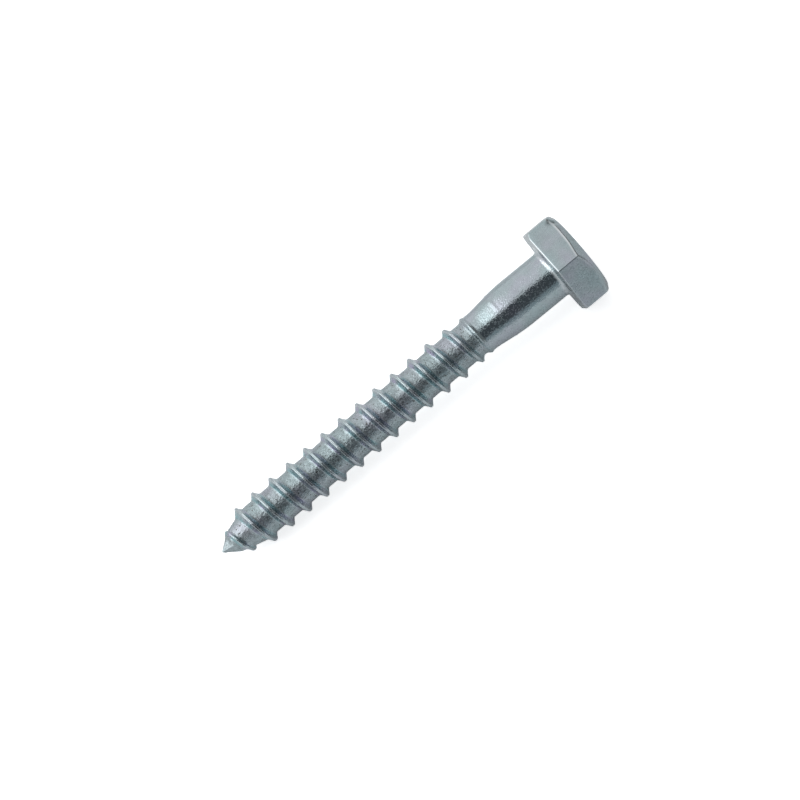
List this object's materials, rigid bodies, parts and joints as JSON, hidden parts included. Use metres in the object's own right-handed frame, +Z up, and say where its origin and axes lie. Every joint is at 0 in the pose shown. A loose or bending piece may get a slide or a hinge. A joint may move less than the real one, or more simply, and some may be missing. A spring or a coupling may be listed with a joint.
{
  "type": "lag screw",
  "caption": "Hex head lag screw: a plain shank with a tapered shoulder and a coarse right-hand wood thread down to a gimlet point.",
  "frame": {"origin": "on the surface that the screw lies on, under the middle of its length", "axes": "+Z up; +X along the screw, from the point to the head, which the screw's own axis climbs by 3.2 degrees because the head is wider than the thread; +Y across it"},
  "size_m": [0.055, 0.0128, 0.0113],
  "materials": {
    "zinc_plated_steel": "satin"
  },
  "bodies": {
    "root": {"lag_screw": "zinc_plated_steel"}
  },
  "joints": []
}
